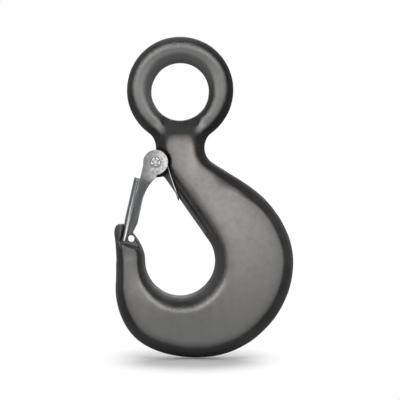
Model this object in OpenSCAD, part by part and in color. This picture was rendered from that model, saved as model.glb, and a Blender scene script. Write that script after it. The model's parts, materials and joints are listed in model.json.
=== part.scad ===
// Forged eye hook with a sprung throat latch.
// The eye's centre is the origin and the load line runs straight down through the bowl's centre.
// The hook lies in the XZ plane, opens towards -X, and has its thickness along Y.

/* [Eye] */
// Hole through the eye
eye_d = 40.5; // [32:0.5:50]
// Width of the ring at the sides of the hole
eye_side_w = 17; // [13:0.2:21]
// Width of the ring over the top of the hole
eye_top_w = 18.3; // [14:0.1:22]
// Thickness of the ring
eye_t = 17; // [13:0.5:21]
// Depth trimmed off the inside of the ring, which leaves a narrow round land
eye_trim = 0.4; // [0.3:0.1:0.8]

/* [Neck] */
// Width of the neck at its narrowest
neck_w = 34; // [28:0.5:42]
// Thickness of the neck
neck_t = 24; // [22:0.5:28]
// Radius of the hollows between the neck and the eye
neck_fillet = 13; // [9:0.5:16]
// From the hole down to the top of the neck's flat face
face_drop = 10.4; // [9:0.2:12]
// Thickness left at the hole, above the neck
rim_t = 5.6; // [5.4:0.1:7]
// Width of the hollow between the hole and the neck's face
hollow_w = 24.6; // [20:0.2:28]
// Slope of the outer shoulder below the neck, in degrees
shoulder_slope = 32; // [26:1:38]

/* [Hook] */
// Eye centre down to the bowl's centre
reach = 118; // [104:1:145]
// Diameter of the bowl
bowl_d = 48.8; // [40:0.2:58]
// Slope of the straight shank between the latch boss and the bowl, in degrees
shank_slope = 55; // [52:1:58]
// Section where the shank runs into the bowl
shoulder_w = 49; // [42:0.5:58]
// Section at the back, level with the bowl's centre
back_w = 54.8; // [46:0.2:64]
// Section at the heel
heel_w = 51.3; // [43:0.1:60]
// Section under the load
saddle_h = 42.8; // [36:0.5:52]
// Section halfway round the toe
ball_w = 38.2; // [32:0.2:45]
// Section where the toe turns up
toe_w = 27.3; // [23:0.5:33]
// Section below the point's root
root_w = 22; // [19:0.2:27]
// Section at the root of the point
point_w = 20.2; // [17:0.2:24]
// Thickness of the body at the saddle
body_t = 29; // [25:0.5:34]
// Width of the rounded edges, seen from the front
edge_w = 8; // [6:0.5:9]

/* [Point] */
// Height of the point above the bowl's centre
point_rise = 25.6; // [22:0.2:31]
// Thickness of the point
point_t = 22; // [20:0.5:26]
// Width left at the point's top, outside the latch
nose_w = 8.4; // [7:0.2:9.6]
// Thickness of the tongue that the latch straddles
tongue_t = 14; // [11:0.5:15]
// Hole across the tongue for a lock pin
lock_d = 4.8; // [4:0.2:6]
// Outside of the latch in to the lock pin's axis
lock_in = 7.2; // [6.5:0.1:7.6]
// Latch's lower end up to the lock pin's axis
lock_up = 2.4; // [2:0.1:2.8]

/* [Latch boss] */
// Latch axis above the corner where the neck meets the shank
pivot_rise = 1.7; // [1:0.1:3]
// Diameter of the thin lug that carries the hub
lug_d = 16.8; // [15:0.2:17.2]
// Latch axis down to the lug's centre
lug_drop = 1.9; // [1.2:0.1:2.4]
// Latch axis in to the lug's centre
lug_in = 1.3; // [1:0.1:1.6]
// Thickness of the lug
lug_t = 7; // [6:0.5:7.5]
// Diameter of the hub that the ears bear on
hub_d = 12.4; // [11:0.2:12.8]
// How far the recess for the open latch reaches into the shank
rest_w = 3.1; // [2:0.1:3.6]
// Thickness left in that recess
rest_t = 11; // [10:0.5:13]
// Radius at the recess's lower end
rest_r = 1.6; // [1:0.1:1.8]

/* [Latch] */
// Thickness of the latch's sheet
sheet_t = 1.6; // [1.2:0.1:1.6]
// Width over the two ears
latch_w = 20.2; // [19.8:0.1:21.4]
// Diameter of the ears
ear_d = 17.2; // [16.6:0.2:19]
// Latch axis out to the web's outer face
web_v = 12.2; // [11.6:0.2:13.4]
// Width of the cheeks, with the web
cheek_w = 8.8; // [8:0.2:9.4]
// Outer radius of the bends
bend_r = 4.5; // [3.5:0.1:5]
// Latch axis to the web's upper end
web_start = 13.4; // [12:0.2:16]
// How far the latch's ends reach below the point's top
seat_h = 11.3; // [10:0.1:12.5]
// Radius of the hollow between an ear and its cheek
ear_fillet = 28; // [22:1:34]
// Radius of the notch that hooks over the lock pin
notch_r = 3.1; // [2.8:0.1:3.4]

/* [Rivet] */
// Diameter of the rivet
rivet_d = 6; // [5:0.5:7]
// Diameter of its formed head
head_d = 10.4; // [9:0.2:12]
// Height of the formed head
head_h = 2; // [1.4:0.1:2.4]
// Height of the peened end
peen_h = 0.9; // [0.6:0.1:1.2]
// How far the peened end spreads past the rivet's shank
peen_w = 0.35; // [0.2:0.05:0.5]

/* [Spring] */
// Diameter of the spring's wire
wire_d = 1.2; // [1:0.1:1.3]
// Length of the loop that bears on the shank, from the latch axis
loop_len = 30.5; // [26:0.5:36]
// Length of the ends that bear on the latch's web, from the latch axis
tang_len = 25; // [22:1:30]
// Radius of the loop's two corners
loop_r = 1.6; // [1.3:0.1:1.9]

/* [Fits] */
// Running clearance round the rivet
rivet_gap = 0.05; // [0.02:0.01:0.09]
// Gap at each end of the hub
hub_gap = 0.1; // [0.05:0.05:0.2]
// Gap between parts that rest against each other
rest_gap = 0.3; // [0.2:0.05:0.4]
// Room for the latch to swing clear of the forging
swing_gap = 2; // [1.2:0.1:2.4]
// Gap between the tongue and the latch's slot
slot_gap = 0.4; // [0.3:0.1:0.8]

/* [Hidden] */
$fn = 72;
edge_steps = 6;
edge_power = 1.7;
root_power = 1.4;
shank_power = 2;
wire_sides = 8;

// The point's two sides flare outwards as it rises, and its outer corner is rounded
point_flare_in = 22;
point_flare_out = 110;
nose_round = 5.5;
nose_drop = 8;

// The forging starts inside the ring: shares of the ring's width and of its outer radius
root_sink = 0.02;
root_x = [0.46, 0.6];

// Where the hollow between the hole and the neck's face gets steeper
hollow_knee = 0.55;
hollow_steps = 6;

// How strongly the shoulder's curve follows its direction at each end
shoulder_pull = [1.3, 0.78];

// Shares of the ear's radius, the seat's height and the rivet head's height
ear_flat = 0.93;
foot_share = 0.62;
head_slope = 0.6;

// Room cut past the spring's loop
relief_end = 4;

// Where the spring's ends leave their coils, along the latch
tang_start = 4;

// ---- places, as [x, z] points in the hook's plane ----
eye_r = eye_d / 2;
bowl_r = bowl_d / 2;
bowl = [0, -reach];
ring_r = eye_r + eye_side_w;
ring_rise = eye_top_w - eye_side_w;
tangent_a = 90 - shank_slope;
shank_dir = [cos(shank_slope), -sin(shank_slope)];
shank_out = [-sin(shank_slope), -cos(shank_slope)];
shank_end = bowl + bowl_r * u(tangent_a);
corner = [-neck_w / 2, shank_end[1] + (shank_end[0] + neck_w / 2) * tan(shank_slope)];
pivot = corner + [0, pivot_rise];
fillet_x = neck_w / 2 + neck_fillet;
fillet_z = ring_rise - sqrt(pow(ring_r + neck_fillet, 2) - pow(fillet_x, 2));
fillet_a = acos(fillet_x / (ring_r + neck_fillet));

// ---- the latch's own axes: along points from its axis to its free end, across points outwards ----
ear_y = latch_w / 2;
gap_y = ear_y - sheet_t;
bend_v = web_v - bend_r;
bend_y = ear_y - bend_r;
slot_y = tongue_t / 2 + slot_gap;
stop_v = bend_v + sqrt(pow(bend_r, 2) - pow(max(slot_y - bend_y, 0), 2)) + rest_gap;
point_top = bowl[1] + point_rise;
nose = [point_x(point_top) + nose_w - nose_round, point_top];
nose_v = nose - pivot;
latch_a = atan2(nose_v[1], nose_v[0]) + asin(stop_v / norm(nose_v));
along = u(latch_a);
across = u(latch_a - 90);
nose_u = sqrt(pow(norm(nose_v), 2) - pow(stop_v, 2));
latch_end = nose_u + seat_h;
slot_start = nose_u - swing_gap;
lock_v = web_v - lock_in;
lock_u = latch_end - lock_up;
seat_r = norm([latch_end, web_v]) + swing_gap;
ear_r = ear_d / 2;
pocket_r = ear_r + swing_gap;

// ---- the spring ----
wire_r = wire_d / 2;
coil_r = hub_d / 2 + rest_gap + wire_r;
coil_y0 = lug_t / 2 + rest_gap + wire_r;
coil_y1 = gap_y - rest_gap - wire_r;
pivot_depth = (pivot - shank_end) * shank_out;
loop_a = -shank_slope - asin((wire_r + rest_gap - pivot_depth) / loop_len);
loop_end = pivot + loop_len * u(loop_a);
leg_a = loop_a + acos(coil_r / loop_len);
tang_v = web_v - sheet_t - wire_r - rest_gap;
tang_a = latch_a - 90 + 360;
coil_turns = 2;

// ---- small tools ----
function u(a) = [cos(a), sin(a)];
function mix(a, b, k) = a + (b - a) * k;
function cubic(p0, p1, m0, m1, k) =
    (2*k*k*k - 3*k*k + 1) * p0 + (k*k*k - 2*k*k + k) * m0 + (3*k*k - 2*k*k*k) * p1 + (k*k*k - k*k) * m1;

// A smooth curve through the rows [place, value] of a table
function row_at(t, s, i = 0) = i == len(t) - 2 || s <= t[i + 1][0] ? i : row_at(t, s, i + 1);
function rise_at(t, i) =
    let (a = max(i - 1, 0), b = min(i + 1, len(t) - 1)) (t[b][1] - t[a][1]) / (t[b][0] - t[a][0]);
function curve(t, s) =
    let (i = row_at(t, s), w = t[i + 1][0] - t[i][0])
    cubic(t[i][1], t[i + 1][1], rise_at(t, i) * w, rise_at(t, i + 1) * w, (s - t[i][0]) / w);

// ---- forging: inner and outer edge of each section ----
// Section round the bowl, by the angle turned below the horizontal
body_w = [[-tangent_a, shoulder_w], [0, back_w], [45, heel_w], [90, saddle_h],
          [120, ball_w], [150, toe_w], [165, root_w], [180, point_w], [190, point_w]];
function outer_at(a) = bowl + (bowl_r + curve(body_w, -a)) * u(a);

// The point's inner and outer side
function side_in(z) = -bowl_r - pow(z - bowl[1], 2) / (2 * point_flare_in);
function point_x(z) =
    let (k = max(0, (z - point_top + nose_drop) / nose_drop))
    -bowl_r - point_w - pow(z - bowl[1], 2) / (2 * point_flare_out)
        + nose_round * (1 - sqrt(max(0, 1 - k*k)));

// The shoulder runs from the neck's fillet to the section at the shank's end
shoulder_a = [fillet_x, fillet_z] - neck_fillet * [sin(shoulder_slope), cos(shoulder_slope)];
shoulder_b = outer_at(tangent_a);
shoulder_l = norm(shoulder_b - shoulder_a);
shoulder_m0 = shoulder_pull[0] * shoulder_l * u(-shoulder_slope);
shoulder_m1 = shoulder_pull[1] * shoulder_l * unit(outer_at(tangent_a - 1) - shoulder_b);
function unit(v) = v / norm(v);

// Stations are [inner edge, outer edge, place along the forging]: 0 at the eye, 1 at the neck,
// 2 at the bowl's start, 3 at the point's root, 4 at the point's top
root_steps = 4;
fillet_steps = 9;
shank_steps = 22;
bowl_steps = 66;
point_steps = 14;
neck_len = fillet_z - corner[1];
shank_len = norm(shank_end - corner);
fillet_len = neck_fillet * (90 - shoulder_slope) * PI / 180;
function root_station(k) =
    let (z = mix(-eye_r - root_sink * eye_side_w, fillet_z + neck_fillet * sin(fillet_a), k),
         x = mix(root_x[0], root_x[1], k) * ring_r)
    [[-x, z], [x, z], 0.3 * k];
function fillet_station(k) =
    let (p = [fillet_x, fillet_z] - neck_fillet * [cos(fillet_a * (1 - k)), -sin(fillet_a * (1 - k))])
    [[-p[0], p[1]], p, 0.3 + 0.7 * k];
function shank_station(k) =
    let (i = k * (neck_len + shank_len), o = k * (fillet_len + shoulder_l))
    [i < neck_len ? [-neck_w / 2, fillet_z - i] : corner + (i - neck_len) * shank_dir,
     o < fillet_len
        ? [fillet_x, fillet_z] - neck_fillet * u(o / neck_fillet * 180 / PI)
        : cubic(shoulder_a, shoulder_b, shoulder_m0, shoulder_m1, (o - fillet_len) / shoulder_l),
     1 + k];
function bowl_station(k) =
    let (a = mix(tangent_a, -180, k)) [bowl + bowl_r * u(a), outer_at(a), 2 + k];
function point_station(k) =
    let (z = mix(bowl[1], point_top, sin(90 * k))) [[side_in(z), z], [point_x(z), z], 3 + sin(90 * k)];
stations = concat(
    [for (i = [0 : root_steps - 1]) root_station(i / root_steps)],
    [for (i = [0 : fillet_steps - 1]) fillet_station(i / fillet_steps)],
    [for (i = [0 : shank_steps - 1]) shank_station(i / shank_steps)],
    [for (i = [0 : bowl_steps - 1]) bowl_station(i / bowl_steps)],
    [for (i = [0 : point_steps]) point_station(i / point_steps)]);

// Thickness, and the width of the rounded inner and outer edges, by the place along the forging
body_thick = [[0, neck_t], [1.5, neck_t], [2.58, body_t], [3.1, point_t], [3.8, point_t],
              [4, 0.74 * point_t]];
edge_in = [[0, 1.5 * edge_w], [0.3, 2 * edge_w], [1, 1.25 * edge_w], [1.5, 2.2 * edge_w], [2, 1.45 * edge_w],
           [2.6, 1.4 * edge_w], [3, 0.85 * edge_w], [4, 0.7 * edge_w]];
edge_out = [[0, 1.5 * edge_w], [0.3, 2 * edge_w], [1, 1.25 * edge_w], [1.5, 2.1 * edge_w], [2, 1.15 * edge_w],
            [2.6, 1.4 * edge_w], [3, 0.8 * edge_w], [4, 0.7 * edge_w]];
edge_p = [[0, root_power], [0.6, root_power], [1, edge_power], [1.5, shank_power], [2, edge_power],
          [4, edge_power]];

// Thickness where both faces fall away from the neck towards the hole, by the distance from the eye's centre
function slope_t(r) = rim_t + (neck_t - rim_t) * (r - eye_r) / face_drop;

// One closed section from an inner to an outer edge point, with rounded edges and flat faces
function section(a, b, h, wa, wb, p) =
    let (w = norm(b - a), d = (b - a) / w, ea = min(wa, 0.49 * w), eb = min(wb, 0.49 * w),
         arc = [for (i = [0 : edge_steps])
             let (t = 90 * i / edge_steps) [1 - pow(cos(t), 2 / p), pow(sin(t), 2 / p)]],
         run = concat([for (c = arc) [ea * c[0], c[1]]],
                      [for (i = [edge_steps : -1 : 0]) [w - eb * arc[i][0], arc[i][1]]],
                      [for (i = [1 : edge_steps]) [w - eb * arc[i][0], -arc[i][1]]],
                      [for (i = [edge_steps : -1 : 1]) [ea * arc[i][0], -arc[i][1]]]))
    [for (c = run) [a[0] + c[0] * d[0], h * c[1], a[1] + c[0] * d[1]]];

// Skin over a row of sections: capped at both ends, or closed on itself
module skin(rings, closed = false) {
    n = len(rings[0]);
    m = len(rings);
    points = [for (r = rings) for (p = r) p];
    walls = [for (i = [0 : closed ? m - 1 : m - 2])
        for (j = [0 : n - 1])
            let (k = (i + 1) % m, l = (j + 1) % n)
            each [[i * n + j, i * n + l, k * n + l], [i * n + j, k * n + l, k * n + j]]];
    ends = closed ? [] : [[for (j = [n - 1 : -1 : 0]) j], [for (j = [0 : n - 1]) (m - 1) * n + j]];
    polyhedron(points, concat(walls, ends), convexity = 8);
}

// Round bar across the hook, centred on its plane
module across_bar(p, d, l) {
    translate([p[0], 0, p[1]]) rotate([90, 0, 0]) cylinder(h = l, d = d, center = true);
}

// Extrudes a shape drawn in the hook's plane from depth y0 to y1
module slab(y0, y1) {
    translate([0, y1, 0]) rotate([90, 0, 0]) linear_extrude(y1 - y0) children();
}

// The same on both faces
module slab_pair(y0, y1) {
    slab(y0, y1) children();
    slab(-y1, -y0) children();
}

// ---- hook body ----
ring_steps = 72;
far = 200;
deep = 40;
function ring_outer(a) = ring_rise * sin(a) + sqrt(pow(ring_r, 2) - pow(ring_rise * cos(a), 2));

module eye_ring() {
    difference() {
        skin([for (i = [0 : ring_steps - 1])
            let (a = 360 * i / ring_steps, r0 = eye_r - eye_trim, r1 = ring_outer(a))
            section(r0 * u(a), r1 * u(a), eye_t / 2, r1, r1, 2)], closed = true);
        for (s = [0, 1]) mirror([0, s, 0]) neck_hollow();
    }
}

// What a face of the ring loses above the neck: a hollow that rises from the hole to the neck's face
module neck_hollow() {
    knee = eye_r + hollow_knee * face_drop;
    top = eye_r + face_drop;
    skin([for (i = [-hollow_steps : hollow_steps])
        let (x = i / hollow_steps * hollow_w / 2, z = sqrt(pow(eye_r, 2) - pow(x, 2)))
        [[x, rim_t / 2, -z], [x, slope_t(knee) / 2, -knee], [x, neck_t / 2, -top], [x, neck_t, -top],
         [x, neck_t, -z]]]);
}

module forging() {
    skin([for (i = [len(stations) - 1 : -1 : 0])
        let (s = stations[i], h = min(curve(body_thick, s[2]), slope_t(-s[0][1])) / 2)
        section(s[0], s[1], h, curve(edge_in, s[2]), curve(edge_out, s[2]), curve(edge_p, s[2]))]);
}

// Relief for an ear, the spring's coil and its leg
module boss_relief() {
    wall = wire_r + 2 * rest_gap;
    leg_start = pivot + (coil_r + wall) * u(leg_a);
    leg_stop = loop_end + wall * u(leg_a) + relief_end * unit(loop_end - pivot);
    translate(pivot) circle(pocket_r);
    polygon([pivot, leg_start, leg_stop, leg_stop - [far / 4, 0], pivot - [far / 4, 0]]);
}

// Seat for the latch's cheeks beside the tongue
module latch_seat() {
    intersection() {
        translate(pivot) circle(seat_r);
        polygon([for (c = [[slot_start, stop_v], [2 * seat_r, stop_v], [2 * seat_r, -pocket_r],
                           [slot_start, -pocket_r]])
            pivot + c[0] * along + c[1] * across]);
    }
}

// Recess along the shank, where the cheeks lie when the latch is open
module open_seat() {
    offset(r = rest_r) offset(delta = -rest_r) intersection() {
        translate(pivot) circle(seat_r);
        polygon([for (c = [[0, -rest_w], [far, -rest_w], [far, pocket_r], [0, pocket_r]])
            corner + c[0] * shank_dir + c[1] * shank_out]);
    }
}

module hook_body() color([0.30, 0.29, 0.29]) {
    difference() {
        union() {
            difference() {
                union() {
                    eye_ring();
                    forging();
                }
                slab_pair(lug_t / 2, deep) boss_relief();
                slab_pair(tongue_t / 2, deep) latch_seat();
                slab_pair(rest_t / 2, deep) open_seat();
                across_bar([0, 0], eye_d, far);
                across_bar(pivot + lock_u * along + lock_v * across, lock_d, far);
            }
            across_bar(pivot + [lug_in, -lug_drop], lug_d, lug_t);
            across_bar(pivot, hub_d, 2 * (gap_y - hub_gap));
        }
        across_bar(pivot, rivet_d + 2 * rivet_gap, far);
    }
}

// ---- latch, drawn with its axis at the origin, along x and across y ----
module in_latch_frame() {
    translate([pivot[0], 0, pivot[1]]) rotate([90, 0, 0]) rotate(latch_a) mirror([0, 1, 0]) children();
}

inner_v = web_v - cheek_w;
foot_v = lock_v + notch_r;
fillet_v = inner_v - ear_fillet;
fillet_u = sqrt(pow(ear_r + ear_fillet, 2) - pow(fillet_v, 2));

module cheek_outline() {
    difference() {
        union() {
            circle(d = ear_d);
            polygon([[0, ear_flat * ear_r], [web_start, ear_flat * ear_r],
                     [web_start, bend_v], [latch_end, bend_v],
                     [latch_end, lock_v], [latch_end - foot_share * seat_h, lock_v],
                     [slot_start, inner_v], [fillet_u, inner_v],
                     [0, fillet_v * ear_r / (ear_r + ear_fillet)]]);
        }
        translate([fillet_u, fillet_v]) circle(ear_fillet);
        translate([lock_u, lock_v]) circle(notch_r);
        translate([lock_u, foot_v - far]) square([far, far]);
        circle(d = rivet_d + 2 * rivet_gap);
    }
}

// The bent web, as a U across the latch
module web_section() {
    difference() {
        union() {
            translate([0, bend_v]) square([2 * bend_y, 2 * bend_r], center = true);
            for (s = [-1, 1]) translate([s * bend_y, bend_v]) circle(bend_r);
        }
        translate([0, bend_v]) square([2 * bend_y, 2 * (bend_r - sheet_t)], center = true);
        for (s = [-1, 1]) translate([s * bend_y, bend_v]) circle(bend_r - sheet_t);
        translate([-far / 2, bend_v - far]) square([far, far]);
    }
}

module latch() color([0.66, 0.68, 0.68]) {
    in_latch_frame() {
        difference() {
            union() {
                for (s = [-1, 1])
                    translate([0, 0, s * (ear_y - sheet_t / 2)])
                        linear_extrude(sheet_t, center = true) cheek_outline();
                translate([web_start, 0, 0]) rotate([0, 90, 0])
                    linear_extrude(latch_end - web_start) web_section();
            }
            translate([slot_start, 0, -slot_y]) cube([far, far, 2 * slot_y]);
        }
    }
}

// ---- rivet ----
rivet_r = rivet_d / 2;
head_r = head_d / 2;

module pivot_rivet() color([0.72, 0.72, 0.70]) {
    translate([pivot[0], 0, pivot[1]]) rotate([90, 0, 0]) {
        cylinder(h = latch_w, d = rivet_d, center = true);
        translate([0, 0, ear_y]) rotate_extrude()
            polygon([[0, 0], [rivet_r + peen_w, 0], [rivet_r + peen_w, peen_h / 2],
                     [rivet_r - peen_w, peen_h], [0, peen_h]]);
        translate([0, 0, -ear_y - head_h]) rotate_extrude()
            polygon([[0, 0], [head_r - head_slope * head_h, 0], [head_r, head_slope * head_h],
                     [head_r, head_h], [0, head_h]]);
    }
}

// ---- spring: one wire, from tang to coil to loop to coil to tang ----
turn_steps = 30;
function at_pivot(p, y) = [pivot[0] + p[0], y, pivot[1] + p[1]];
wrap = tang_a - leg_a + 360 * coil_turns;
coil_n = ceil(wrap / 360 * turn_steps);
leg_top = pivot + coil_r * u(leg_a);
leg_dir = unit(loop_end - leg_top);
half_wire = concat(
    [for (c = [[tang_len, tang_v], [web_start, coil_r], [tang_start, coil_r]])
        at_pivot(c[0] * along + c[1] * across, bend_y - wire_d)],
    [for (i = [0 : coil_n]) let (k = i / coil_n)
        at_pivot(coil_r * u(mix(leg_a + wrap, leg_a, k)), mix(coil_y1, coil_y0, k))],
    [for (k = [0.3, 0.6, 0.9]) let (p = mix(leg_top, loop_end, k)) [p[0], coil_y0, p[1]]],
    [for (a = [0 : 30 : 90]) let (p = loop_end - loop_r * (1 - sin(a)) * leg_dir)
        [p[0], coil_y0 - loop_r * (1 - cos(a)), p[1]]]);
other_half = [for (i = [len(half_wire) - 1 : -1 : 0]) let (p = half_wire[i]) [p[0], -p[1], p[2]]];
wire_path = concat(half_wire, other_half);

// The ring's corners are turned with the path, so that neighbouring rings line up
function wire_ring(path, i) =
    let (t = unit(path[min(i + 1, len(path) - 1)] - path[max(i - 1, 0)]),
         n = unit(cross(t, [t[2], 0.2, -t[0]])),
         b = cross(t, n))
    [for (j = [0 : wire_sides - 1])
        let (c = u(-360 * j / wire_sides)) path[i] + wire_r * (c[0] * n + c[1] * b)];

module latch_spring() color([0.55, 0.55, 0.56]) {
    skin([for (i = [0 : len(wire_path) - 1]) wire_ring(wire_path, i)]);
}

hook_body();
latch();
pivot_rivet();
latch_spring();
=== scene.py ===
import json
import math

import bpy
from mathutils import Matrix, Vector


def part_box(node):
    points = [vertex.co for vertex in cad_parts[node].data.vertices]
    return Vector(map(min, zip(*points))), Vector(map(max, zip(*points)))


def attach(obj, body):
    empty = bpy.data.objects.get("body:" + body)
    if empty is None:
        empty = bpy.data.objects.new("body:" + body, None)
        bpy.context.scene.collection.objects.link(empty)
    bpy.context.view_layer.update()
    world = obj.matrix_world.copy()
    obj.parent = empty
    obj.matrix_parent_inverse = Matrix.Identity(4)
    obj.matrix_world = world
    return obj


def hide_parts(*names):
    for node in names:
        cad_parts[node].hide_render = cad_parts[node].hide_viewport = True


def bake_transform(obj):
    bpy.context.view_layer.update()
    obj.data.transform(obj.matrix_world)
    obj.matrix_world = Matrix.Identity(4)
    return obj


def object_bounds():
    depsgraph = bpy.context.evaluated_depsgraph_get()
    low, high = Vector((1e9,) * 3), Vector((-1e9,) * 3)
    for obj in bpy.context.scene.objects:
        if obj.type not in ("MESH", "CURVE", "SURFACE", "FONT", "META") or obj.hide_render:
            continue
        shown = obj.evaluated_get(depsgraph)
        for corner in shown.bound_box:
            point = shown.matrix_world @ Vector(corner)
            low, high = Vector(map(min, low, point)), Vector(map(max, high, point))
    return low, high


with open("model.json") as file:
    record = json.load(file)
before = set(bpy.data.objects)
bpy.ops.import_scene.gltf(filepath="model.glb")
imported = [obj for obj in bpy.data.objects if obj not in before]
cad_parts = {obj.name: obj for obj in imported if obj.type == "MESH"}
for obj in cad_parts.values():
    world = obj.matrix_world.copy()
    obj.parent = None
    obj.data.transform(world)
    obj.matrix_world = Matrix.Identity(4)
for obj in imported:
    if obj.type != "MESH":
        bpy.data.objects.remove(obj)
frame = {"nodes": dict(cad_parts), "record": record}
cad_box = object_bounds()

MM = 0.001
low = cad_box[0]


# ---- places, from the frame ----
def middle(box):
    return (Vector(box[0]) + Vector(box[1])) / 2


mounts = {mount["name"]: mount for mount in frame["record"]["mounts"]}
eye = Vector((0, 0, 0))  # the frame's own zero
pin = Vector(mounts["lock_pin_hole"]["pos_m"])
pin_r = mounts["lock_pin_hole"]["dims"]["r_mm"] * MM
tongue = mounts["lock_pin_hole"]["dims"]["length_mm"] * MM
pivot = middle(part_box("pivot_rivet"))
pivot.y = 0
front_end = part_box("pivot_rivet")[0][1]
BOWL_R = 24.4 * MM
bowl = Vector(mounts["bowl_saddle"]["pos_m"]) + Vector((0, 0, BOWL_R))

# The latch runs along its own line, which passes the lock pin's axis at this distance
PIN_ASIDE = 5 * MM
pin_line = pin - pivot
along_angle = math.atan2(pin_line.z, pin_line.x) + math.asin(PIN_ASIDE / pin_line.length)
along = Vector((math.cos(along_angle), 0, math.sin(along_angle)))
across = Vector((math.sin(along_angle), 0, -math.cos(along_angle)))


# ---- working on one object at a time ----
SHARP = math.radians(40)
SAME_PLACE = 0.002 * MM


def pick(obj):
    """Makes an object the only one that operators act on."""
    if bpy.context.mode != "OBJECT":
        bpy.ops.object.mode_set(mode="OBJECT")
    bpy.ops.object.select_all(action="DESELECT")
    obj.select_set(True)
    bpy.context.view_layer.objects.active = obj
    return obj


def finish_with(obj, kind, **settings):
    """Adds a modifier of that kind, sets it and applies it."""
    pick(obj)
    modifier = obj.modifiers.new(kind, kind)
    for key, value in settings.items():
        setattr(modifier, key, value)
    bpy.ops.object.modifier_apply(modifier=modifier.name)
    return obj


def edit(obj, *steps):
    """Runs edit-mode steps on the whole of a mesh."""
    pick(obj)
    bpy.ops.object.mode_set(mode="EDIT")
    bpy.ops.mesh.select_all(action="SELECT")
    for step in steps:
        step()
    bpy.ops.object.mode_set(mode="OBJECT")
    return obj


def merged():
    bpy.ops.mesh.remove_doubles(threshold=SAME_PLACE)


def copy_of(node, name):
    """A merged copy of a CAD node's mesh, as the start of a visible piece."""
    obj = bpy.data.objects.new(name, frame["nodes"][node].data.copy())
    obj.data.name = name
    obj.data.materials.clear()
    bpy.context.scene.collection.objects.link(obj)
    return edit(obj, merged)


def new_piece(name):
    """The primitive just added, with its place taken into its mesh."""
    obj = bpy.context.object
    obj.name = name
    obj.data.name = name
    bpy.ops.object.transform_apply()
    return obj


def bar(name, at, radius, length, sides=96):
    """Round bar across the hook."""
    bpy.ops.object.select_all(action="DESELECT")
    bpy.ops.mesh.primitive_cylinder_add(vertices=sides, radius=radius, depth=length, location=at,
                                        rotation=(math.pi / 2, 0, 0))
    return new_piece(name)


def block(name, at, size, direction=Vector((1, 0, 0))):
    """Block whose length runs in a direction in the hook's plane."""
    bpy.ops.object.select_all(action="DESELECT")
    bpy.ops.mesh.primitive_cube_add(size=1, location=at, scale=size,
                                    rotation=(0, math.atan2(-direction.z, direction.x), 0))
    return new_piece(name)


def take(obj, tool, how="DIFFERENCE"):
    """Cuts with a tool, or joins it on, and throws the tool away."""
    finish_with(obj, "BOOLEAN", object=tool, operation=how, solver="EXACT")
    bpy.data.objects.remove(tool)
    return obj


def both_sides(make, y0, y1):
    """Two tools made alike, from depth y0 to y1 on each side of the hook's plane."""
    return [make((y0 + y1) / 2 * side, y1 - y0) for side in (-1, 1)]


def all_triangles():
    bpy.ops.mesh.quads_convert_to_tris()


def smooth(obj):
    """Smooth shading, except over a sharp edge."""
    pick(obj)
    bpy.ops.object.shade_smooth_by_angle(angle=SHARP)


def weigh(obj, name, weight_of):
    """A vertex group whose weights come from each vertex."""
    group = obj.vertex_groups.new(name=name)
    for v in obj.data.vertices:
        weight = weight_of(v)
        if weight > 0:
            group.add([v.index], weight, "REPLACE")
    return group.name


def ease(t):
    """From 0 to 1 as t does, eased at both ends."""
    t = min(max(t, 0), 1)
    return t * t * (3 - 2 * t)


# ---- forged hook ----
FORGE_GRID = 0.75 * MM
LUG_HALF = 3.5 * MM
OUTSIDE = 20 * MM

# Machined faces lie this much inside the ones they were forged to
SHAVE = 0.15 * MM

# The ears' pocket round the hub
POCKET_R = 10.6 * MM
HUB_CLEAR = 7.2 * MM

# The latch's seat, along the latch and across it
SEAT_R = 61.33 * MM
SEAT_START = 44.76 * MM
SEAT_OUT = 7.5 * MM

# The wall beside the spring's leg
LEG_START = Vector((-9.11, 0, -46.92)) * MM
LEG_STOP = Vector((2.16, 0, -78.53)) * MM
LEG_GAP = 9 * MM
LEG_W = 6 * MM

# The recess along the shank
SHANK_SLOPE = math.radians(55)
SHANK = Vector((math.cos(SHANK_SLOPE), 0, -math.sin(SHANK_SLOPE)))
SHANK_OUT = Vector((-math.sin(SHANK_SLOPE), 0, -math.cos(SHANK_SLOPE)))
CORNER = pivot - Vector((0, 0, 1.7 * MM))
REST_LEN = 59.9 * MM
REST_W = 3.5 * MM
REST_HALF = 5.5 * MM
REST_OPEN = 6 * MM
REST_ROUND = 1.6 * MM
PLATE_W = 4.5 * MM
PLATE_PROUD = 0.05 * MM

# The hollow where the eye runs into the neck
NECK_Z = -29 * MM
NECK_HALF = 13 * MM
NECK_FADE = 7 * MM
NECK_FLAT = 4 * MM
NECK_ROUND = 3 * MM

# The ridge left by the dies, and the unevenness of their faces
RIDGE_H = 0.32 * MM
RIDGE_HALF = 1.9 * MM
RIDGE_FADE = 0.8 * MM
RIDGE_END = 1.5 * MM
DENT_SIZE = 14 * MM
DENT_DEPTH = 0.35 * MM

# A normal's share out of the hook's plane, from a face's edge to its middle
FACE_EDGE = 0.80
FACE_MIDDLE = 0.99


def soften_neck(hook):
    """The eye runs into the neck's faces in one soft hollow; the hole's edge and the sides stay."""
    def weight(v):
        level = ease((NECK_HALF - abs(v.co.z - NECK_Z)) / NECK_FADE)
        return level * ease((abs(v.co.y) - NECK_FLAT) / NECK_ROUND)

    neck = weigh(hook, "neck", weight)
    finish_with(hook, "SMOOTH", factor=0.5, iterations=60, vertex_group=neck)
    hook.vertex_groups.clear()


def parting_line(hook):
    """A narrow trimmed ridge where the two dies met, round the whole edge but for the very bottom."""
    def weight(v):
        edge = ease((0.5 - abs(v.normal.y)) / 0.25)
        return edge * ease((RIDGE_HALF - abs(v.co.y)) / RIDGE_FADE) * ease((v.co.z - low.z) / RIDGE_END)

    ridge = weigh(hook, "parting", weight)
    finish_with(hook, "DISPLACE", strength=RIDGE_H, mid_level=0, vertex_group=ridge)
    hook.vertex_groups.clear()


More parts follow.
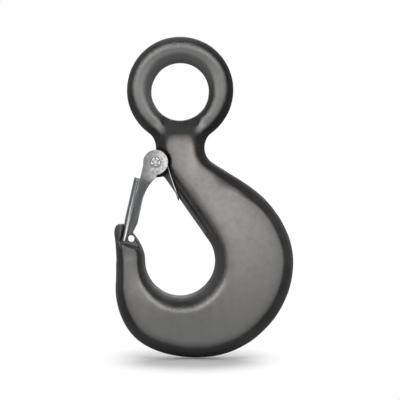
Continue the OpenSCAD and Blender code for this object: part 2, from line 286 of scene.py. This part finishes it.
def crowned(hook):
    """Stores how deep inside a face each point lies, from 0 to 1."""
    group = hook.vertex_groups.new(name="crown")
    for v in hook.data.vertices:
        level = ease((abs(v.normal.y) - FACE_EDGE) / (FACE_MIDDLE - FACE_EDGE))
        group.add([v.index], level, "REPLACE")
    edit(hook, lambda: bpy.ops.object.vertex_group_smooth(factor=0.5, repeat=200))
    levels = [v.groups[0].weight for v in hook.data.vertices]
    hook.vertex_groups.clear()
    layer = hook.data.color_attributes.new(name="crown", type="FLOAT_COLOR", domain="CORNER")
    for corner, loop in zip(layer.data, hook.data.loops):
        corner.color = [levels[loop.vertex_index]] * 3 + [1]


def hammered(hook):
    """Shallow unevenness of a forged face, only ever inwards."""
    texture = bpy.data.textures.new("forged", "CLOUDS")
    texture.noise_scale = DENT_SIZE
    texture.noise_depth = 2
    finish_with(hook, "DISPLACE", texture=texture, texture_coords="LOCAL", strength=DENT_DEPTH, mid_level=1)


def beside(at, y):
    """The same place, moved out of the hook's plane."""
    return at + Vector((0, y, 0))


def seat_tool(y, depth):
    """Latch seat: the tongue's flat sides, up to a round shoulder struck from the hinge."""
    tool = bar("seat", beside(pivot, y), SEAT_R + SHAVE, depth, 256)
    past_shoulder = 10 * MM
    reach = SEAT_R - SEAT_START + past_shoulder
    at = pivot + along * (SEAT_START + reach / 2) + across * (SEAT_OUT - POCKET_R) / 2
    side = block("seat_side", beside(at, y), (reach, depth * 2, SEAT_OUT + POCKET_R), along)
    return take(tool, side, "INTERSECT")


def boss_tool(y, depth):
    """Round wall of the pocket that an ear turns in."""
    tool = bar("boss", beside(pivot, y), POCKET_R + SHAVE, depth, 128)
    return take(tool, bar("hub", beside(pivot, y), HUB_CLEAR, depth * 2, 128))


def leg_tool(y, depth):
    """Straight wall beside the spring's leg."""
    direction = (LEG_STOP - LEG_START).normalized()
    side = Vector((direction.z, 0, -direction.x))
    at = (LEG_START + direction * LEG_GAP + LEG_STOP) / 2 + side * (LEG_W / 2 - SHAVE)
    length = (LEG_STOP - LEG_START).length - LEG_GAP
    return block("leg", beside(at, y), (length, depth, LEG_W), direction)


def rest_tool(y, depth):
    """Recess along the shank for the open latch, with a round lower end."""
    width = REST_W + SHAVE
    at = CORNER + SHANK * REST_LEN / 2 + SHANK_OUT * (REST_OPEN - width) / 2
    tool = block("rest", beside(at, y), (REST_LEN, depth, width + REST_OPEN), SHANK)
    end = CORNER + SHANK * REST_LEN - SHANK_OUT * width
    pick(tool)
    for v in tool.data.vertices:
        v.select = math.hypot(v.co.x - end.x, v.co.z - end.z) < 0.1 * MM
    for edge in tool.data.edges:
        edge.select = all(tool.data.vertices[i].select for i in edge.vertices)
    for face in tool.data.polygons:
        face.select = False
    bpy.ops.object.mode_set(mode="EDIT")
    bpy.ops.mesh.bevel(offset=REST_ROUND, segments=6)
    bpy.ops.object.mode_set(mode="OBJECT")
    return tool


def rest_floor(hook):
    """Fills the recess along the shank back up to a flat floor, before it is machined."""
    at = CORNER + SHANK * REST_LEN / 2 - SHANK_OUT * (PLATE_W / 2 + PLATE_PROUD)
    plate = block("rest_floor", at, (REST_LEN - 1 * MM, 2 * REST_HALF, PLATE_W), SHANK)
    finish_with(plate, "BEVEL", width=0.5 * MM, segments=3)
    take(hook, plate, "UNION")


def cut_seats(hook):
    """The faces that are machined after forging."""
    for make, depth in ((seat_tool, tongue / 2 - SHAVE), (boss_tool, LUG_HALF + 0.2 * MM),
                        (leg_tool, LUG_HALF - SHAVE), (rest_tool, REST_HALF - SHAVE)):
        for tool in both_sides(make, depth, OUTSIDE):
            take(hook, tool)
    take(hook, bar("drill", pin, pin_r, 2 * OUTSIDE, 64))


def forged_hook():
    """The forging in one even skin, with its ridge and its unevenness, and then its machined faces."""
    hook = copy_of("hook_body", "forged_hook")

    # The lock pin's hole is plugged while the skin is made, and drilled again with the machined faces
    plug = bar("plug", pin, pin_r + 0.5 * MM, tongue - 0.1 * MM)
    pick(hook)
    plug.select_set(True)
    bpy.ops.object.join()
    finish_with(hook, "REMESH", mode="VOXEL", voxel_size=FORGE_GRID)
    finish_with(hook, "SMOOTH", factor=0.5, iterations=12)
    soften_neck(hook)
    hammered(hook)
    crowned(hook)
    parting_line(hook)
    rest_floor(hook)
    cut_seats(hook)
    edit(hook, merged, all_triangles)
    smooth(hook)
    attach(hook, "hook")
    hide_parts("hook_body")
    return hook


# ---- latch, rivet and spring ----
EDGE_BREAK = 0.28 * MM
RIVET_GRID = 0.17 * MM
STAR_POINTS = 5
STAR_TURN = 0.3
STAR_R = 2.5 * MM
STAR_CUT = Vector((2.6, 1.2, 1.3)) * MM


def latch_sheet():
    """Stamped sheet with its cut edges broken."""
    latch = copy_of("latch", "latch_sheet")
    edit(latch, lambda: bpy.ops.mesh.dissolve_limited(angle_limit=math.radians(2)))
    finish_with(latch, "BEVEL", limit_method="ANGLE", angle_limit=SHARP, width=EDGE_BREAK, segments=3)
    edit(latch, merged)
    smooth(latch)
    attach(latch, "latch")
    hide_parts("latch")
    return latch


def peened_rivet():
    """Rivet with rounded edges, whose front end is spread by a star punch."""
    rivet = copy_of("pivot_rivet", "peened_rivet")
    finish_with(rivet, "REMESH", mode="VOXEL", voxel_size=RIVET_GRID)
    finish_with(rivet, "SMOOTH", factor=0.5, iterations=5)
    for i in range(STAR_POINTS):
        angle = 2 * math.pi * (i + STAR_TURN) / STAR_POINTS
        direction = Vector((math.cos(angle), 0, math.sin(angle)))
        at = Vector((pivot.x, front_end, pivot.z)) + direction * STAR_R
        take(rivet, block("notch", at, STAR_CUT, direction))
    edit(rivet, merged, all_triangles)
    smooth(rivet)
    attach(rivet, "latch")
    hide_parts("pivot_rivet")
    return rivet


def round_wire():
    """The spring, smoothed into a round wire."""
    spring = copy_of("latch_spring", "round_wire")
    finish_with(spring, "SUBSURF", levels=1)
    pick(spring)
    bpy.ops.object.shade_smooth()
    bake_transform(spring)
    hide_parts("latch_spring")
    return spring


# ---- finishes ----
class Value:
    """A number socket whose sums add Math nodes."""

    def __init__(self, tree, socket):
        self.tree = tree
        self.socket = socket

    def sum(self, operation, *others):
        """A Math node on this number and the others."""
        node = self.tree.nodes.new("ShaderNodeMath")
        node.operation = operation
        for slot, item in zip(node.inputs, (self,) + others):
            if isinstance(item, Value):
                self.tree.links.new(item.socket, slot)
            else:
                slot.default_value = item
        return Value(self.tree, node.outputs[0])

    def __add__(self, other):
        return self.sum("ADD", other)

    def __sub__(self, other):
        return self.sum("SUBTRACT", other)

    def __rsub__(self, other):
        return self.sum("MULTIPLY", -1) + other

    def __mul__(self, other):
        return self.sum("MULTIPLY", other)

    __radd__ = __add__
    __rmul__ = __mul__

    def size(self):
        """Without its sign."""
        return self.sum("ABSOLUTE")

    def ramp(self, start, end):
        """From 0 at start to 1 at end, eased at both ends."""
        node = self.tree.nodes.new("ShaderNodeMapRange")
        node.interpolation_type = "SMOOTHSTEP"
        self.tree.links.new(self.socket, node.inputs["Value"])
        node.inputs["From Min"].default_value = min(start, end)
        node.inputs["From Max"].default_value = max(start, end)
        node.inputs["To Min"].default_value = 0 if start < end else 1
        node.inputs["To Max"].default_value = 1 if start < end else 0
        return Value(self.tree, node.outputs["Result"])

    def high(self, other):
        """The higher of the two."""
        return self.sum("MAXIMUM", other)


class Finish:
    """A node material: its shader's own settings, and the patterns that feed it."""

    def __init__(self, name, holder=None, **constants):
        self.holder = holder or bpy.data.materials.new(name)
        self.holder.use_nodes = True
        self.tree = self.holder.node_tree
        self.shader = self.tree.nodes.get("Principled BSDF")
        for key, value in constants.items():
            self.shader.inputs[key.replace("_", " ")].default_value = value

    def node(self, kind, settings=None, **sockets):
        """Adds a node, with its settings first and then the values or links of its sockets."""
        node = self.tree.nodes.new("ShaderNode" + kind)
        for key, value in (settings or {}).items():
            setattr(node, key, value)
        for key, value in sockets.items():
            self.put(node.inputs[key.replace("_", " ")], value)
        return node

    def put(self, socket, value):
        """Links a value to a socket, or sets it if it is a plain one."""
        if isinstance(value, Value):
            value = value.socket
        if isinstance(value, bpy.types.NodeSocket):
            self.tree.links.new(value, socket)
        else:
            socket.default_value = value

    def number(self, socket):
        return Value(self.tree, socket)

    def place(self, stretch=None, turn=None):
        """Object coordinates, in metres, turned and then stretched if asked."""
        place = self.node("TexCoord").outputs["Object"]
        if turn is not None:
            place = self.node("Mapping", Vector=place, Rotation=turn).outputs["Vector"]
        if stretch is not None:
            place = self.node("Mapping", Vector=place, Scale=stretch).outputs["Vector"]
        return place

    def axes(self, vector):
        split = self.node("SeparateXYZ", Vector=vector)
        return [self.number(socket) for socket in split.outputs]

    def normal(self):
        return self.axes(self.node("TexCoord").outputs["Normal"])

    def noise(self, size, place=None, detail=2.0, rough=0.5):
        """Noise between 0 and 1 whose lumps are about that size."""
        node = self.node("TexNoise", Vector=place or self.place(), Scale=1 / size, Detail=detail,
                         Roughness=rough)
        return self.number(node.outputs["Fac"])

    def blend(self, factor, a, b):
        """Colour a, or b where the factor is 1."""
        node = self.node("Mix", {"data_type": "RGBA"})
        self.put(node.inputs[0], factor)
        self.put(node.inputs[6], a)
        self.put(node.inputs[7], b)
        return node.outputs[2]

    def layers(self, colour, *coats):
        """A colour with coats laid over it in turn, each a mask and a colour."""
        for mask, coat in coats:
            colour = self.blend(mask, colour, coat)
        return colour

    def relief(self, height, depth, under=None):
        """A bumped normal, on top of another if one is given."""
        node = self.node("Bump", Height=height, Distance=depth, Strength=1.0)
        if under is not None:
            self.put(node.inputs["Normal"], under)
        return node.outputs["Normal"]

    def feed(self, **sockets):
        """Feeds the shader's own sockets, and gives back the material."""
        for key, value in sockets.items():
            self.put(self.shader.inputs[key.replace("_", " ")], value)
        return self.holder


def rgb(r, g, b):
    return (r, g, b, 1.0)


def distance(x, z, centre):
    """Distance in the hook's plane from a point."""
    dx = x - centre.x
    dz = z - centre.z
    return ((dx * dx) + (dz * dz)).sum("SQRT")


class Skin:
    """What the forging's patterns follow: place, slope, distances and noises, as number sockets."""

    def __init__(self, f):
        self.nx, self.ny, self.nz = f.normal()
        self.x, self.y, self.z = f.axes(f.place())
        self.fine = f.noise(0.8 * MM, detail=3)
        self.cloud = f.noise(16 * MM, detail=3)
        self.spots = f.noise(4 * MM, detail=4, rough=0.6)
        self.crown = f.number(f.node("Attribute", {"attribute_name": "crown"}).outputs["Fac"])
        self.from_eye = distance(self.x, self.z, eye)
        self.from_bowl = distance(self.x, self.z, bowl)
        self.from_hinge = distance(self.x, self.z, pivot)

        # The eye's ring, where it looks left (there it gets painted light, as if lit from that side), the
        # bowl's rim, and below the point
        self.ring = self.z.ramp(-30 * MM, -10 * MM)
        self.lit = (0 - self.nx).high(0) * self.ring
        self.inside = self.from_bowl.ramp(38 * MM, 28 * MM)
        self.below = self.z.ramp(-120 * MM, -138 * MM)

        # Machined faces lie nearer the middle plane than the forged ones
        self.sunk = self.y.size().ramp(8.3 * MM, 7.9 * MM) * self.z.ramp(-38 * MM, -41 * MM)

        # The recess: how deep into the shank, how far down it, and how far past the recess's outline
        self.into = (self.x - CORNER.x) * -SHANK_OUT.x + (self.z - CORNER.z) * -SHANK_OUT.z
        self.down = (self.x - CORNER.x) * SHANK.x + (self.z - CORNER.z) * SHANK.z
        self.past = (self.into - REST_W).high(self.down - REST_LEN)
        self.shank = self.into.ramp(-3 * MM, -1.5 * MM)
        self.beside_rest = self.down.ramp(14 * MM, 20 * MM) * self.into.ramp(8 * MM, 5.5 * MM) * self.shank


def pressed_face_and_painted_shade(s):
    """How much of the pressed face's colour shows: most where the skin faces straight out, so edges turning
    away are darkened partly as painted shade.
    """
    # Painted shade where the skin faces down, most on the eye's ring; the ring gets painted light where it
    # looks left
    under = (0 - s.nz).high(0) * (0.05 + 0.30 * s.ring) - s.z.ramp(-150 * MM, -172 * MM) * 0.05
    facing = s.ny.size() - under + s.lit * 0.06 + s.inside * 0.05
    facing = facing + (s.fine - 0.5) * 0.14 + (s.cloud - 0.5) * 0.05

    # Forged faces fade towards their edges, which paints shade where they round away; machined ones are even
    # and duller, and darker in the shank's recess as painted shade
    least = 0.30 + 0.35 * s.z.ramp(-155 * MM, -170 * MM)
    forged = least + (1 - least) * s.crown.ramp(0.1, 1.1)
    machined = 0.42 - 0.16 * s.x.ramp(-30 * MM, -20 * MM)
    face = facing.ramp(FACE_EDGE, FACE_MIDDLE) * ((1 - s.sunk) * forged + s.sunk * machined)

    # Painted shade: in the hollow under the eye, along the seat's shoulder, in the recess's corner, and on
    # two soft turns of the shank
    hollow = s.x.size().ramp(15.5 * MM, 9 * MM) * s.z.ramp(-36 * MM, -29 * MM) * s.z.ramp(-8 * MM, -18 * MM)
    shoulder = s.from_hinge.ramp(SEAT_R - 1.8 * MM, SEAT_R - 0.9 * MM)
    shoulder = shoulder * s.from_hinge.ramp(SEAT_R + 1 * MM, SEAT_R)
    shoulder = shoulder * s.x.ramp(-22 * MM, -26 * MM) * s.z.ramp(-85 * MM, -95 * MM)
    corner = s.past.ramp(-1.0 * MM, -0.2 * MM) * s.sunk * s.beside_rest
    lee = s.into.ramp(15 * MM, 8.5 * MM) * s.shank
    lee = lee * s.down.ramp(22 * MM, 32 * MM) * s.down.ramp(72 * MM, 58 * MM)
    turned = distance(s.x, s.z, Vector((32, 0, -60)) * MM).ramp(11.5 * MM, 3 * MM)
    for mask, share in ((hollow, 0.85), (shoulder, 0.8), (corner, 0.9), (lee, 0.33), (turned, 0.5)):
        face = face * (1 - share * mask)
    return face * s.from_hinge.ramp(10.6 * MM, 11.4 * MM)


def pale_coat_and_painted_light(f, s):
    """Pressed faces: paler and warmer on the shank and greyer below, a gradient painted as light from above,
    with painted highlights on the bowl, the ring and the neck.
    """
    outer = s.x.ramp(35 * MM, 75 * MM)
    drawn = f.noise(2.2 * MM, f.place(stretch=(1, 1, 0.12)), detail=3).ramp(0.35, 0.70)
    drawn = drawn * s.from_bowl.ramp(64 * MM, 36 * MM) * s.z.ramp(-125 * MM, -150 * MM)
    # A painted highlight down the right side of the neck
    neck = s.x.ramp(2 * MM, 9 * MM) * s.x.ramp(15 * MM, 10 * MM)
    neck = neck * s.z.ramp(-35 * MM, -38 * MM) * s.z.ramp(-64 * MM, -46 * MM)

    # Painted highlight and glint where the skin turns up, most on the bowl's two flanks
    flanks = 0.42 + 0.28 * (s.x - bowl.x).size().ramp(6 * MM, 20 * MM)
    bowl_sheen = s.from_bowl.ramp(40 * MM, 29 * MM) * s.below * flanks
    raised = s.below.high(s.ring).high(s.z.ramp(-36 * MM, -28 * MM))
    glint = s.nz.ramp(0.03, 0.22) * raised * (0.5 + 0.6 * s.fine.ramp(0.40, 0.65)) * flanks
    # More painted light where the eye's ring looks left
    glint = glint.high(s.lit.ramp(0.05, 0.28) * (0.15 + 0.20 * s.nz.ramp(-0.1, 0.2)))
    # Painted highlights where the eye's ring runs into the neck
    root_highlight = distance(s.x.size(), s.z, Vector((14, 0, -25)) * MM).ramp(6 * MM, 1.5 * MM)
    root_highlight = root_highlight * (0.35 + 0.30 * s.x.ramp(-5 * MM, 5 * MM))

    # From the bowl's grey up to the shank's pale is a painted light gradient
    bowl_face = rgb(0.122, 0.121, 0.119)
    shank_face = rgb(0.250, 0.234, 0.225)
    ring_face = rgb(0.230, 0.227, 0.223)
    ring_top = rgb(0.110, 0.109, 0.107)
    streak = rgb(0.085, 0.083, 0.081)
    return f.layers(
        bowl_face,
        (s.z.ramp(-172 * MM, -80 * MM), shank_face),
        (s.z.ramp(-35 * MM, 0), ring_face),
        (s.z.ramp(0, 40 * MM), ring_top),
        (outer * 0.40, rgb(0.10, 0.099, 0.097)),
        (s.spots.ramp(0.35, 0.75) * 0.30, rgb(0.11, 0.108, 0.106)),
        (drawn * 0.26, streak),
        (s.fine.ramp(0.30, 0.70) * 0.16, streak),
        (neck * 0.38, rgb(0.43, 0.40, 0.38)),
        (bowl_sheen, rgb(0.30, 0.29, 0.28)),
        (glint, rgb(0.44, 0.43, 0.42)),
        (root_highlight, rgb(0.55, 0.54, 0.53)))


def dark_coat_and_painted_light(f, s):
    """Edges: near black, greyer on the nose and under the bowl; painted light greys the bowl's and the
    hole's rims, and painted shade keeps sides that face down darker.
    """
    flat = s.ny.size()
    shaded = s.x.ramp(5 * MM, 20 * MM) * s.z.ramp(-90 * MM, -60 * MM) * s.from_eye.ramp(26 * MM, 31 * MM)
    belly = s.z.ramp(-158 * MM, -178 * MM) * flat.ramp(0.2, 0.8)
    grain = s.fine.ramp(0.50, 0.72) * (0.35 - 0.2 * shaded)
    # The sides are greyer, with painted shade where they face down
    side = flat.ramp(0.50, 0.12) * (0.25 + 0.75 * s.nz.ramp(-0.7, 0.1)) * (1 - 0.7 * shaded)
    side = side * (0.45 + 0.55 * s.spots.ramp(0.3, 0.7))
    parting = s.y.size().ramp(1.5 * MM, 0.9 * MM) * flat.ramp(0.7, 0.4) * (0.3 + 0.9 * s.fine.ramp(0.3, 0.6))
    parting = parting * (0.25 + 0.45 * s.cloud.ramp(0.35, 0.65))

    # Painted light on the bowl's rim where it faces up, on its heel side, and round the eye's hole
    rim = flat.ramp(0.72, 0.15) * (0.5 + 0.5 * s.fine)
    bowl_rim = rim * s.inside * (0.45 + 0.55 * s.nz.ramp(0.2, 0.9))
    heel_rim = s.inside * s.x.ramp(4 * MM, 20 * MM) * 0.6
    upper = s.z.ramp(-4 * MM, 14 * MM).high(s.x.ramp(-4 * MM, -16 * MM) * s.z.ramp(-22 * MM, -8 * MM))
    hole = s.from_eye.ramp(31 * MM, 26 * MM) * (rim * 0.3).high(upper * (0.6 + 0.4 * s.fine))
    nose = s.z.ramp(-108 * MM, -100 * MM) * s.x.ramp(-35 * MM, -39 * MM) * flat.ramp(0.25, 0.75)

    # A painted highlight along the edge beyond the recess, and the spot that the latch's tip strikes
    rest_edge_highlight = s.past.ramp(0.4 * MM, 1.1 * MM) * s.past.ramp(2.3 * MM, 1.6 * MM)
    rest_edge_highlight = rest_edge_highlight * s.beside_rest * (0.3 + 0.9 * s.fine.ramp(0.35, 0.65))
    tip = distance(s.x, s.z, pivot + along * (SEAT_R - 1 * MM) + across * 11 * MM)
    struck = tip.ramp(4.5 * MM, 1.0 * MM) * s.fine.ramp(0.35, 0.65) * flat.ramp(0.3, 0.7) * 0.4

    black = rgb(0.010, 0.010, 0.010)
    faded = rgb(0.020, 0.020, 0.0195)
    grey = rgb(0.075, 0.074, 0.073)
    return f.layers(
        black,
        (s.cloud.ramp(0.3, 0.7), faded),
        (shaded, rgb(0.005, 0.005, 0.005)),
        (belly * 0.8, rgb(0.034, 0.034, 0.0335)),
        (grain, rgb(0.050, 0.049, 0.048)),
        (side, rgb(0.062, 0.061, 0.060)),
        (parting, rgb(0.115, 0.112, 0.109)),
        (bowl_rim, rgb(0.150, 0.148, 0.145)),
        (heel_rim, rgb(0.050, 0.049, 0.049)),
        (hole, grey),
        (nose * 0.8, grey),
        (rest_edge_highlight, rgb(0.055, 0.054, 0.054)),
        (struck, rgb(0.30, 0.285, 0.28)))


def forged_steel():
    """Satin dark coat: warm grey on the pressed faces, near black where they turn away, partly the dark skin
    and partly painted shade.
    """
    f = Finish("forged_steel", Specular_IOR_Level=0.12)
    s = Skin(f)
    face = pressed_face_and_painted_shade(s)
    colour = f.blend(face, dark_coat_and_painted_light(f, s), pale_coat_and_painted_light(f, s))
    bump = f.relief(s.fine, 0.05 * MM, f.relief(s.spots, 0.10 * MM))
    rough = 0.66 - 0.24 * face + 0.12 * s.spots
    return f.feed(Base_Color=colour, Metallic=0.45 * face, Roughness=rough, Normal=bump)


def latch_place(f):
    """How far along the latch, and how far across it, from its hinge."""
    x, y, z = f.axes(f.place())
    u = (x - pivot.x) * along.x + (z - pivot.z) * along.z
    v = (x - pivot.x) * across.x + (z - pivot.z) * across.z
    return u, v


def plated_sheet():
    """Zinc plating: bright and grainy on the ears, with one side of each painted lighter as if lit; dull and
    drawn along the strap, with a painted highlight on its fold.
    """
    f = Finish("plated_sheet", Metallic=1.0)
    u, v = latch_place(f)
    grain = f.noise(0.6 * MM, detail=4, rough=0.7)
    streaks = f.noise(1 * MM, f.place(stretch=(0.06, 1, 1), turn=(0, along_angle, 0)), detail=3)
    coarse = f.noise(1.5 * MM, detail=3, rough=0.8)

    # The ears: lighter towards one side as painted light, with painted shade in a ring round the rivet
    rivet_ring_shade = ((u * u) + (v * v)).sum("SQRT").ramp(4.3 * MM, 3.7 * MM)
    ear = f.layers(
        rgb(0.20, 0.202, 0.20),
        (v.ramp(8 * MM, -9 * MM), rgb(0.68, 0.685, 0.68)),
        (coarse.ramp(0.46, 0.60) * 0.6, rgb(0.17, 0.172, 0.17)),
        (rivet_ring_shade * 0.45, rgb(0.07, 0.07, 0.07)))

    # The strap, with a painted highlight along its fold that grows brighter towards the point
    fold = v + (u - 23 * MM) * 0.03
    fold_highlight = fold.ramp(9.4 * MM, 9.9 * MM) * fold.ramp(11.0 * MM, 10.5 * MM)
    bright = f.blend(u.ramp(20 * MM, 52 * MM), rgb(0.11, 0.115, 0.115), rgb(0.26, 0.265, 0.265))
    strap = f.layers(
        rgb(0.065, 0.072, 0.074),
        (streaks.ramp(0.3, 0.7), rgb(0.110, 0.119, 0.121)),
        (fold_highlight, bright))
    colour = f.blend(u.ramp(9 * MM, 17 * MM), ear, strap)
    return f.feed(Base_Color=colour, Roughness=0.32 + 0.1 * grain, Normal=f.relief(grain, 0.03 * MM))


def plated_rivet():
    """Bright plating, dull in the star's cuts."""
    f = Finish("plated_rivet", Metallic=1.0)
    grain = f.noise(0.5 * MM, detail=4)
    y = f.axes(f.place())[1]
    whole = y.ramp(front_end + 0.40 * MM, front_end + 0.20 * MM).high(y.ramp(0, 1 * MM))
    plating = f.blend(grain.ramp(0.3, 0.7), rgb(0.26, 0.26, 0.25), rgb(0.70, 0.70, 0.68))
    colour = f.blend(whole, rgb(0.25, 0.25, 0.245), plating)
    return f.feed(Base_Color=colour, Roughness=0.3 + 0.15 * grain, Normal=f.relief(grain, 0.05 * MM))


def spring_wire():
    """Bright wire, with painted shade darkening the end of the loop that lies on the shank."""
    f = Finish("spring_wire", Metallic=1.0)
    grain = f.noise(0.6 * MM, detail=3)
    z = f.axes(f.place())[2]
    colour = f.layers(
        rgb(0.45, 0.44, 0.42),
        (grain.ramp(0.3, 0.7), rgb(0.62, 0.61, 0.59)),
        (z.ramp(-66 * MM, -72 * MM) * 0.85, rgb(0.05, 0.05, 0.049)))
    return f.feed(Base_Color=colour, Roughness=0.28 + 0.1 * grain)


def seen(f):
    """1 for what the camera, a mirror or glass looks at, 0 for plain light."""
    path = f.node("LightPath")
    ray = f.number(path.outputs["Is Camera Ray"])
    ray = ray.high(f.number(path.outputs["Is Glossy Ray"]))
    return ray.high(f.number(path.outputs["Is Transmission Ray"]))


# ---- studio ----
WHITE = rgb(1, 1, 1)
SOFT_LIGHT = 0.20
FLOOR_GREY = 0.40

# Round the hook the floor shows its shadow, and from one distance to the next it turns to plain white;
# distances across the floor's depth count for this share
SHADE_MIDDLE = Vector((8 * MM, 0, 0))
SHADE_START = 30 * MM
SHADE_STOP = 68 * MM
SHADE_DEPTH = 0.50

# The camera looks straight at the hook's front, and sees this width there
CAMERA_AT = (0.0139, -1.3, -0.0757)
SENSOR_MM = 36
VIEW_W = 0.28


def floor_finish():
    """Pale floor that carries the shadow near the hook and runs out to plain white."""
    f = Finish("floor", Base_Color=rgb(FLOOR_GREY, FLOOR_GREY, FLOOR_GREY), Roughness=0.9)
    x, y, z = f.axes(f.place())
    away = distance(x, y * SHADE_DEPTH, SHADE_MIDDLE).ramp(SHADE_START, SHADE_STOP)
    white = f.node("Emission", Color=WHITE, Strength=1.0)
    mix = f.node("MixShader", Fac=away * seen(f))
    f.put(mix.inputs[1], f.shader.outputs[0])
    f.put(mix.inputs[2], white.outputs[0])
    f.put(f.tree.nodes["Material Output"].inputs["Surface"], mix.outputs[0])
    return f.holder


def camera():
    cam = bpy.data.objects.new("camera", bpy.data.cameras.new("camera"))
    bpy.context.scene.collection.objects.link(cam)
    cam.location = CAMERA_AT
    cam.rotation_euler = (math.radians(90), 0, 0)
    cam.data.lens = SENSOR_MM * -CAMERA_AT[1] / VIEW_W
    cam.data.clip_start = 0.05
    bpy.context.scene.camera = cam


def surroundings():
    """Even soft light on the object, and plain white to the camera and in reflections."""
    world = bpy.data.worlds.new("studio")
    bpy.context.scene.world = world
    f = Finish("studio", world)
    f.tree.nodes.clear()
    soft = f.node("Background", Color=WHITE, Strength=SOFT_LIGHT)
    white = f.node("Background", Color=WHITE, Strength=1.0)
    mix = f.node("MixShader", Fac=seen(f))
    f.put(mix.inputs[1], soft.outputs[0])
    f.put(mix.inputs[2], white.outputs[0])
    f.node("OutputWorld", Surface=mix.outputs[0])


def floor():
    """A large plane just under the hook."""
    bpy.ops.object.select_all(action="DESELECT")
    bpy.ops.mesh.primitive_plane_add(size=6, location=(0, 0, low.z - 0.2 * MM))
    plane = new_piece("floor")
    plane.data.materials.append(floor_finish())


def softbox(name, size, watts, at, to=(0.01, 0, -0.07)):
    """Square lamp that looks at a place on the hook."""
    lamp = bpy.data.lights.new(name, "AREA")
    lamp.energy = watts
    lamp.size = size
    obj = bpy.data.objects.new(name, lamp)
    bpy.context.scene.collection.objects.link(obj)
    obj.location = at
    obj.rotation_euler = (Vector(to) - Vector(at)).to_track_quat("-Z", "Y").to_euler()


def studio():
    camera()
    surroundings()
    floor()
    softbox("left_box", size=0.4, watts=5, at=(-0.75, -0.75, 0.10))
    softbox("right_box", size=0.4, watts=5, at=(0.75, -0.75, 0.10))
    softbox("front_box", size=0.4, watts=4, at=(0.0, -0.75, 0.62))
    softbox("back_box", size=0.6, watts=10, at=(0.05, 0.85, 0.25))
    softbox("top_box", size=0.8, watts=5.2, at=(0.02, 0.03, 0.60), to=(0.02, 0, low.z))


def clad(piece, finish):
    """Gives a piece its one material."""
    piece.data.materials.clear()
    piece.data.materials.append(finish)


clad(forged_hook(), forged_steel())
clad(latch_sheet(), plated_sheet())
clad(peened_rivet(), plated_rivet())
clad(round_wire(), spring_wire())
studio()

bpy.context.scene.view_settings.view_transform = "Standard"
